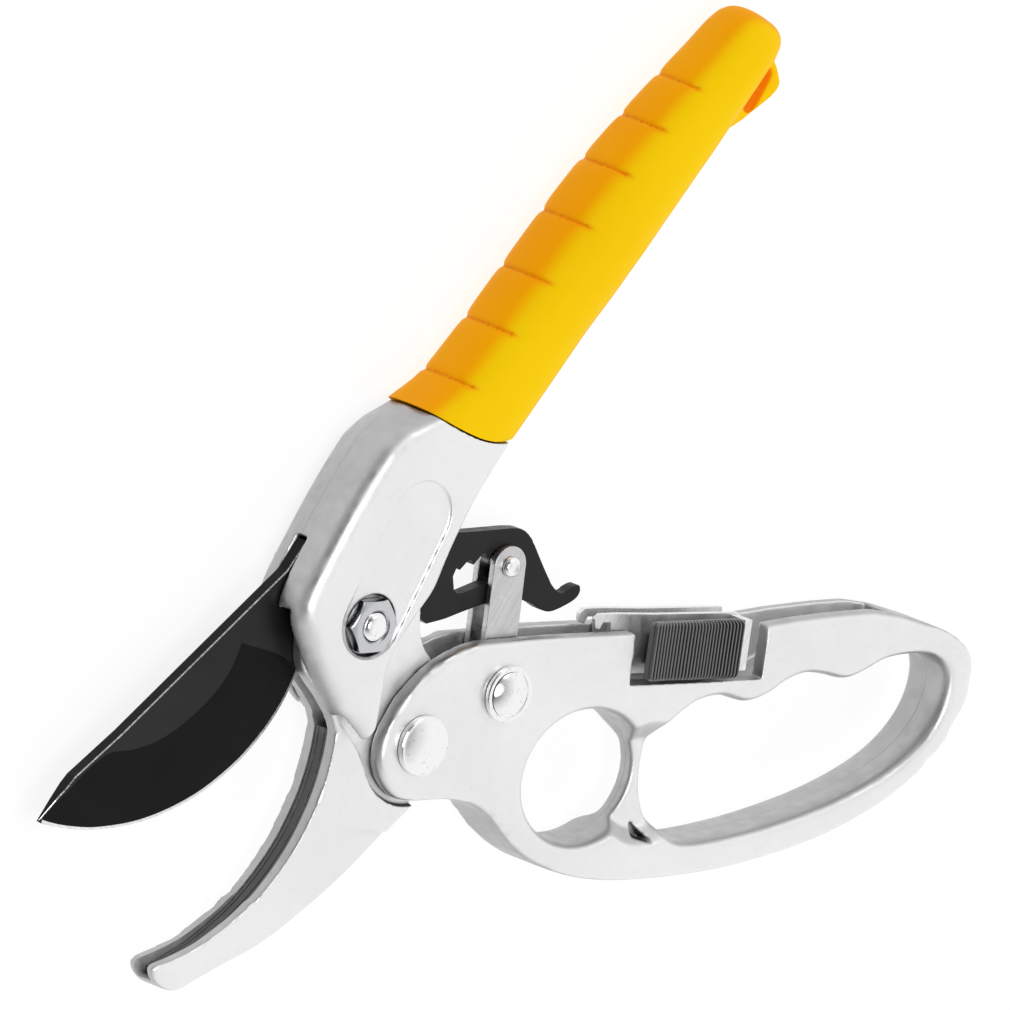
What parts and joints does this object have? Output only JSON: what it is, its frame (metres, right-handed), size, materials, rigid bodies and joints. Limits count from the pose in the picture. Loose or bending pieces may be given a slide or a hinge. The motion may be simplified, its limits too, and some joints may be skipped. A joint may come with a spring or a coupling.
{
  "type": "anvil pruner",
  "caption": "Hand pruner with a curved blade that closes on a grooved anvil jaw through a toothed ratchet link, sleeve grip, looped lower handle and thumb lock.",
  "frame": {"origin": "centre of the bounding box, on the floor plane under the tool lying flat", "axes": "+X along the upper handle towards the grip end, +Z out of the face with the nut and the lock knob, the lower handle on the -Y side"},
  "size_m": [0.2206, 0.1902, 0.0196],
  "materials": {
    "cast_silver": "satin blasted casting",
    "yellow_grip": "smooth satin",
    "black_steel": "satin black coating on steel",
    "steel": "brushed",
    "zinc": "zinc plated",
    "black_plastic": "satin"
  },
  "bodies": {
    "upper_handle": {"upper_casting": "cast_silver", "grip_sleeve": "yellow_grip", "cutting_blade": "black_steel", "blade_pin": "steel", "pivot_bolt": "steel", "pivot_nut": "zinc", "pivot_bush": "steel", "ratchet_pin": "steel", "ratchet_spring": "steel"},
    "jaw": {"anvil_jaw": "cast_silver", "anvil_insert": "black_plastic"},
    "lower_handle": {"lower_casting": "cast_silver", "handle_rivet": "steel", "handle_rivet_washer": "steel", "link_rivet": "steel", "link_rivet_washer": "steel"},
    "link": {"link_arm_front": "steel", "link_arm_back": "steel", "link_spacer": "steel", "link_pin": "steel", "return_spring": "steel"},
    "ratchet": {"ratchet_plate": "black_steel"},
    "lock": {"lock_plate": "steel", "lock_knob": "black_plastic", "lock_rivet": "steel"}
  },
  "joints": [
    {"name": "jaw_close", "type": "hinge", "parent": "upper_handle", "child": "jaw", "pos_m": [-0.03095, 0.05325, 0.009], "axis": [0, 0, 1], "range_deg": [-31.5, 0], "stiffness_Nm_per_rad": 0.3, "springref_deg": 28.65},
    {"name": "handle_squeeze", "type": "hinge", "parent": "jaw", "child": "lower_handle", "pos_m": [-0.04315, 0.02465, 0.009], "axis": [0, 0, 1], "range_deg": [0, 56]},
    {"name": "link_swing", "type": "hinge", "parent": "lower_handle", "child": "link", "pos_m": [-0.02525, 0.01205, 0.009], "axis": [0, 0, 1], "range_deg": [-52, 0], "deforming": ["return_spring"]},
    {"name": "ratchet_tilt", "type": "hinge", "parent": "upper_handle", "child": "ratchet", "pos_m": [-0.01595, 0.04875, 0.009], "axis": [0, 0, 1], "range_deg": [0, 3.6], "deforming": ["ratchet_spring"]},
    {"name": "lock_slide", "type": "slide", "parent": "lower_handle", "child": "lock", "axis": [0.4894, -0.8721, 0], "range_m": [0, 0.0035]}
  ],
  "couplings": [
    {"joint": "handle_squeeze", "follows": "jaw_close", "ratio": -1.75},
    {"joint": "link_swing", "follows": "jaw_close", "ratio": 1.635},
    {"joint": "ratchet_tilt", "follows": "jaw_close", "ratio": -0.11}
  ]
}
